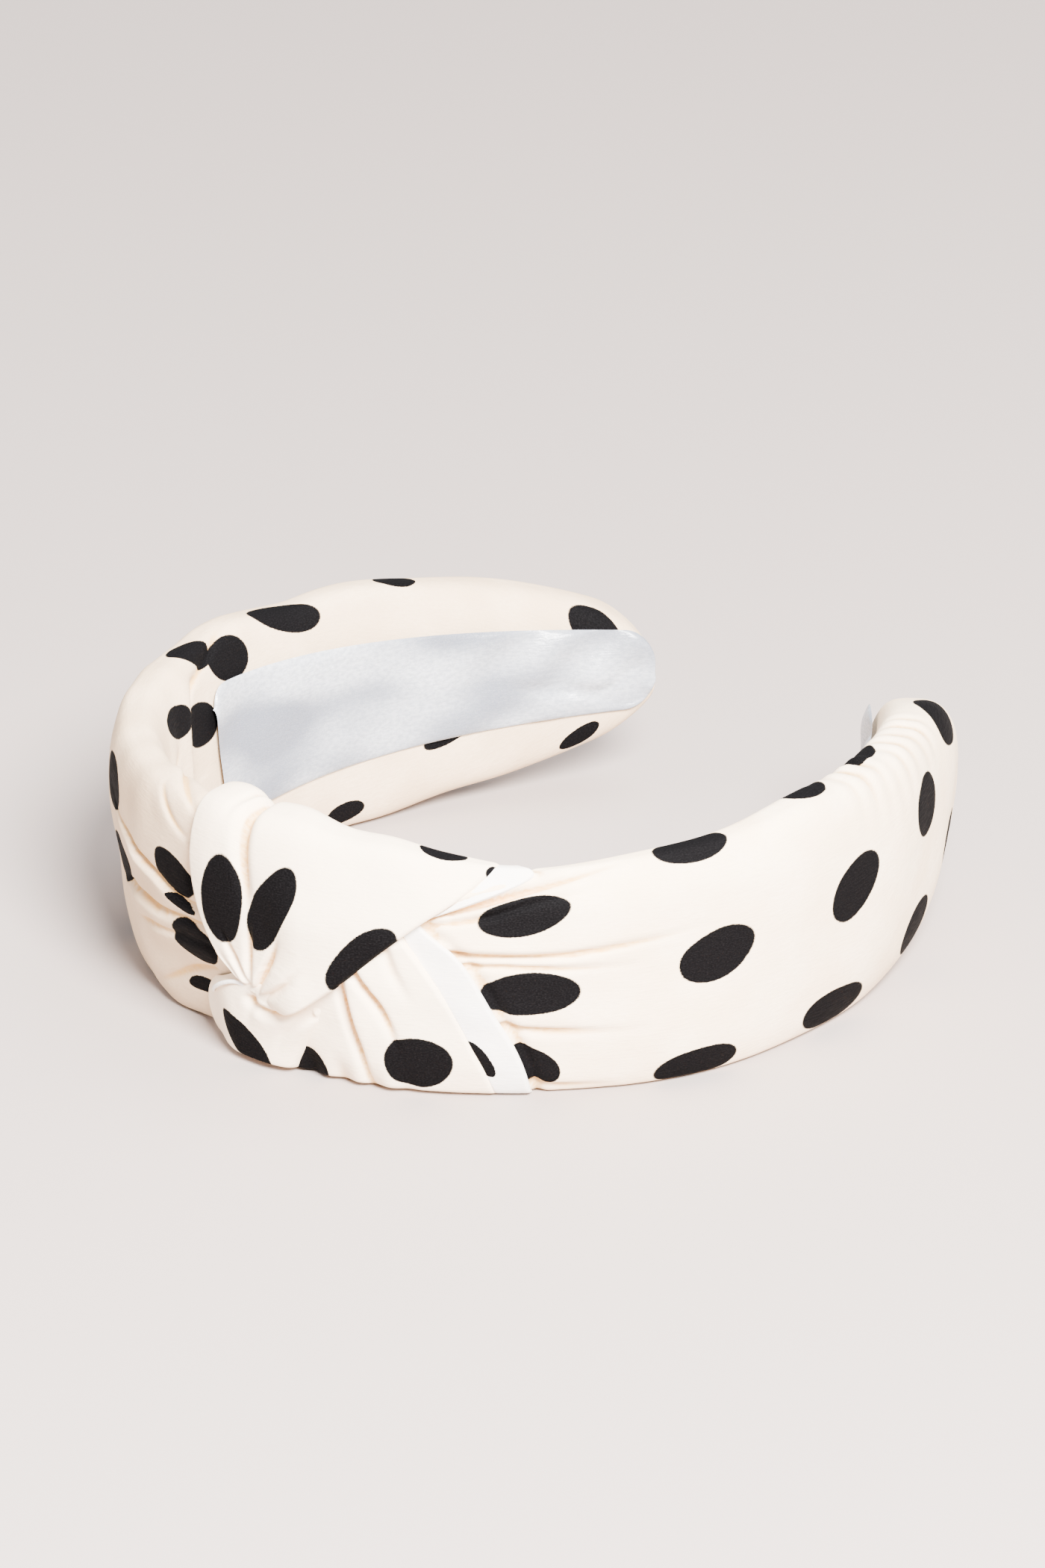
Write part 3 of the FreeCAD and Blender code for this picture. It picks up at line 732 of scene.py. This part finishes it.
def rolled_edge():
    """A short roll of the cloth's edge beside the pinch."""
    t = np.linspace(0, 1, 60)
    line = along(((-10.4, -11.4), (-8.0, -8.2), (-4.8, -5.6), (-1.6, -4.6), (1.8, -5.8)), t)
    angle = np.linspace(0, 2 * np.pi, 19)
    radius = 0.32 * np.sqrt(np.clip(1 - (2 * t - 1) ** 6, 0.02, 1))[:, None]
    drawn = (gathered(line[:, 0], line[:, 1]) * smooth(line[:, 0], -3, -13))[:, None]
    lift = 2.2 - drawn + 0.4 * np.sin(np.pi * t)[:, None] + radius * np.sin(angle)[None]
    d = np.gradient(line, axis=0)
    d /= np.linalg.norm(d, axis=1)[:, None]
    s = line[:, :1] - d[:, 1:] * radius * np.cos(angle)[None]
    v = line[:, 1:] + d[:, :1] * radius * np.cos(angle)[None]
    cloth_at = np.stack([s, v], -1)
    return sheet_mesh("knot_rolled_edge_cloth", on(s, v, lift), cloth_at, facing_satin, closed=True)


rolled = rolled_edge()


def stitches():
    """Ten thread tacks across the two seams where the strap meets the wrap."""
    length, radius = 1.7, 0.34
    angle = np.linspace(0, 2 * np.pi, 13)
    t = np.linspace(-1, 1, 13)
    bulge = np.sqrt(np.clip(1 - t ** 6, 0.02, 1))
    rows = []
    for s0 in TACK_PLACES:
        for v0 in TACK_SEAMS:
            s = s0 + 0.5 * t[:, None] + radius * bulge[:, None] * np.cos(angle)
            v = v0 + length * t[:, None] + 0 * angle
            h = TACK_SEAT + 0.3 * bulge[:, None] + radius * np.sin(angle)
            rows.append((on(s, v, h), np.stack([s, v], -1)))
    pieces = [sheet_mesh("tack", P, C, thread_finish, closed=True) for P, C in rows]
    points = [v.co[:] for piece in pieces for v in piece.data.vertices]
    faces = []
    for k, piece in enumerate(pieces):
        faces += [[k * len(piece.data.vertices) + i for i in f.vertices] for f in piece.data.polygons]
    for piece in pieces:
        bpy.data.objects.remove(piece)
    return mesh_object("knot_stitches_thread", np.array(points) / MM, None, faces, thread_finish)


# ---- foam and core -------------------------------------------------------------------------------
def plain(name, colour, rough, scale=1.0, depth=0.0):
    k = Nodes(name)
    grain = k.noise(k.add("ShaderNodeTexCoord").outputs["Object"], scale, 3.0, 0.6)
    tone = k.mix(k.ramp(grain, 0.35, 0.65, 0.0, 0.5), colour, rgb(235, 222, 196))
    k.put(k.shader.inputs["Base Color"], tone)
    k.shader.inputs["Roughness"].default_value = rough
    k.shader.inputs["Specular IOR Level"].default_value = 0.3
    k.put(k.shader.inputs["Normal"], k.bump(grain, depth))
    return k.material


foam_finish = plain("foam_open_cell", rgb(240, 232, 208), 0.95, 900, 0.0004)
core_finish = plain("core_moulded_plastic", rgb(232, 228, 218), 0.5, 60, 0.00002)
glue_finish = plain("hot_melt_glue", rgb(236, 224, 184), 0.3, 200, 0.0001)
thread_finish = plain("cream_thread", rgb(240, 228, 206), 0.7, 2500, 0.0001)
FOAM_INSET, FOAM_SINK, FOAM_LOWEST = 2.9, 3.0, 1.2
CORE_IN, CORE_OUT, CORE_HALF, CORE_TIP_HALF = 3.4, 5.1, 15.0, 7.4
CORE_END, CORE_TOE, CORE_SHIFT = 9.0, 8.0, 2.2


def foam(side, start, name):
    body = np.arange(start, ARM - TIP_ROUND, 3.0)
    run = np.concatenate([body, np.linspace(ARM - TIP_ROUND, ARM - 3.2, 8)])
    s = side * run[:, None]
    angle = np.linspace(-np.pi, np.pi, 61)[None]
    sunk = FOAM_SINK * smooth(s, 20, 36) * smooth(s, 98, 50) * np.clip(np.sin(angle), 0, 1)
    sunk = sunk + (FOAM_SINK * smooth(s, -34, -16) * smooth(s, 24, 8)
                   * np.clip(-2 * np.sin(angle), 0, 1))
    P = skin(s, angle, -FOAM_INSET - sunk)
    P[..., 2] = np.maximum(P[..., 2], FOAM_LOWEST)
    caps = [P[k:k + 1].mean(1, keepdims=True) + 0 * P[:1] for k in (0, len(P) - 1)]
    P = np.concatenate([caps[0], P, caps[1]])
    return sheet_mesh(name, P, P[..., :2], foam_finish, closed=True)


def core(side, name):
    end = ARM - CORE_END
    body = np.linspace(0, end - CORE_TOE, 60)[:-1]
    toe = end - CORE_TOE + CORE_TOE * np.sin(np.radians(np.linspace(0, 88, 14)))
    run = np.concatenate([body, toe])
    q = run / ARM
    half = CORE_HALF + (CORE_TIP_HALF - CORE_HALF) * q
    half = half * np.sqrt(1 - np.clip((run - end + CORE_TOE) / CORE_TOE, 0, 1) ** 2 * 0.98)
    mid = CORE_SHIFT * (1 - 0.5 * q)
    s = side * np.repeat(run[:, None], 9, 1)
    centre_r = (CORE_IN + CORE_OUT) / 2
    r = np.array([CORE_IN] * 3 + [centre_r] + [CORE_OUT] * 3 + [centre_r, CORE_IN])
    z = np.array([-1, 0, 1, 1.02, 1, 0, -1, -1.02, -1])
    P = place(s, r[None] + 0 * s, mid[:, None] + half[:, None] * z[None])
    return sheet_mesh(name, P, P[..., :2], core_finish, closed=True)


tacks = stitches()
left_foam = foam(-1, 0.0, "left_foam_pad")
right_foam = foam(1, 0.0, "right_foam_pad")
left_core = core(-1, "core_left_half")
right_core = core(1, "core_right_half")

# ---- riding on the frame -------------------------------------------------------------------------
KNOT = (over_wrap, lobe, fan, stripe, corner, rolled, strap, tacks)
for piece in KNOT:
    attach(piece, "crown")
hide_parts("knot_over_wrap")
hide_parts("knot_lower_fan")
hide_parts("knot_lower_fan")
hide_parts("knot_facing")
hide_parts("knot_facing")
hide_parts("knot_rolled_edge")
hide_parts("knot_back_strap")
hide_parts("knot_stitches")


SIDES = (
    ("left", -8, -50, left_cover, left_foam, left_core, left_lining),
    ("right", 28, 78, right_cover, right_foam, right_core, right_lining),
)
for side, start, end, cloth_piece, foam_piece, core_piece, lining_piece in SIDES:
    for piece in (cloth_piece, foam_piece, core_piece):
        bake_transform(piece)
    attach(lining_piece, side + "_arm")
    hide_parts(side + "_cover", "crown_sleeve")
    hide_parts(side + "_foam", "crown_foam")
    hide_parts("band_core")
    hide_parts(side + "_lining")

# the hem glue parts take the glue finish
for node in ("left_hem_glue", "right_hem_glue"):
    frame["nodes"][node].data.materials.clear()
    frame["nodes"][node].data.materials.append(glue_finish)

# ---- stage, light, camera ------------------------------------------------------------------------
AZIMUTH, ELEVATION, ROLL = 0.6905, 0.3949, 0.0017
CAMERA_DISTANCE, PIXELS_PER_MM = 1931.4, 7.442
TARGET = Vector((-16.6, 21.9, 19.3)) * MM
PHOTO_HEIGHT, SENSOR = 2100, 36.0
FLOOR_SIZE = 3.0

back = Vector((math.sin(AZIMUTH) * math.cos(ELEVATION), -math.cos(AZIMUTH) * math.cos(ELEVATION),
               math.sin(ELEVATION)))
right = Vector((math.cos(AZIMUTH), math.sin(AZIMUTH), 0))
up = back.cross(right)
camera = bpy.data.objects.new("camera", bpy.data.cameras.new("camera"))
bpy.context.scene.collection.objects.link(camera)
turned = Matrix((right, up, back)).transposed().to_4x4() @ Matrix.Rotation(ROLL, 4, "Z")
camera.matrix_world = Matrix.Translation(TARGET + back * CAMERA_DISTANCE * MM) @ turned
camera.data.sensor_width = SENSOR
camera.data.lens = PIXELS_PER_MM * CAMERA_DISTANCE * SENSOR / PHOTO_HEIGHT
camera.data.clip_start = 0.05
camera.data.clip_end = 20
camera.data.dof.use_dof = False
bpy.context.scene.camera = camera


def floor():
    k = Nodes("floor_plain")
    k.put(k.shader.inputs["Base Color"], rgb(166, 153, 147))
    k.shader.inputs["Roughness"].default_value = 0.75
    mesh = bpy.data.meshes.new("floor")
    corners = [(x * FLOOR_SIZE, y * FLOOR_SIZE, 0) for x, y in ((-1, -1), (1, -1), (1, 1), (-1, 1))]
    mesh.from_pydata(corners, [], [(0, 1, 2, 3)])
    mesh.materials.append(k.material)
    plane = bpy.data.objects.new("floor", mesh)
    bpy.context.scene.collection.objects.link(plane)


def area_light(name, direction, distance, size, power, colour):
    lamp = bpy.data.lights.new(name, "AREA")
    lamp.shape = "DISK"
    lamp.size = size
    lamp.energy = power
    lamp.color = colour
    holder = bpy.data.objects.new(name, lamp)
    bpy.context.scene.collection.objects.link(holder)
    where = Vector(direction).normalized()
    holder.location = where * distance
    holder.rotation_euler = where.to_track_quat("Z", "Y").to_euler()


floor()
area_light("key", (0.90, -0.62, 0.95), 1.3, 0.5, 178, (1.0, 0.985, 0.965))
area_light("fill", (-0.7, -0.7, 0.8), 1.8, 1.2, 9, (1.0, 0.95, 0.90))
area_light("top", (0.1, 0.4, 1.0), 1.8, 1.2, 36, (0.98, 0.985, 1.0))
world = bpy.data.worlds.new("studio")
world.use_nodes = True
world.node_tree.nodes["Background"].inputs["Color"].default_value = (0.93, 0.95, 1.0, 1)
world.node_tree.nodes["Background"].inputs["Strength"].default_value = 1.0
bpy.context.scene.world = world
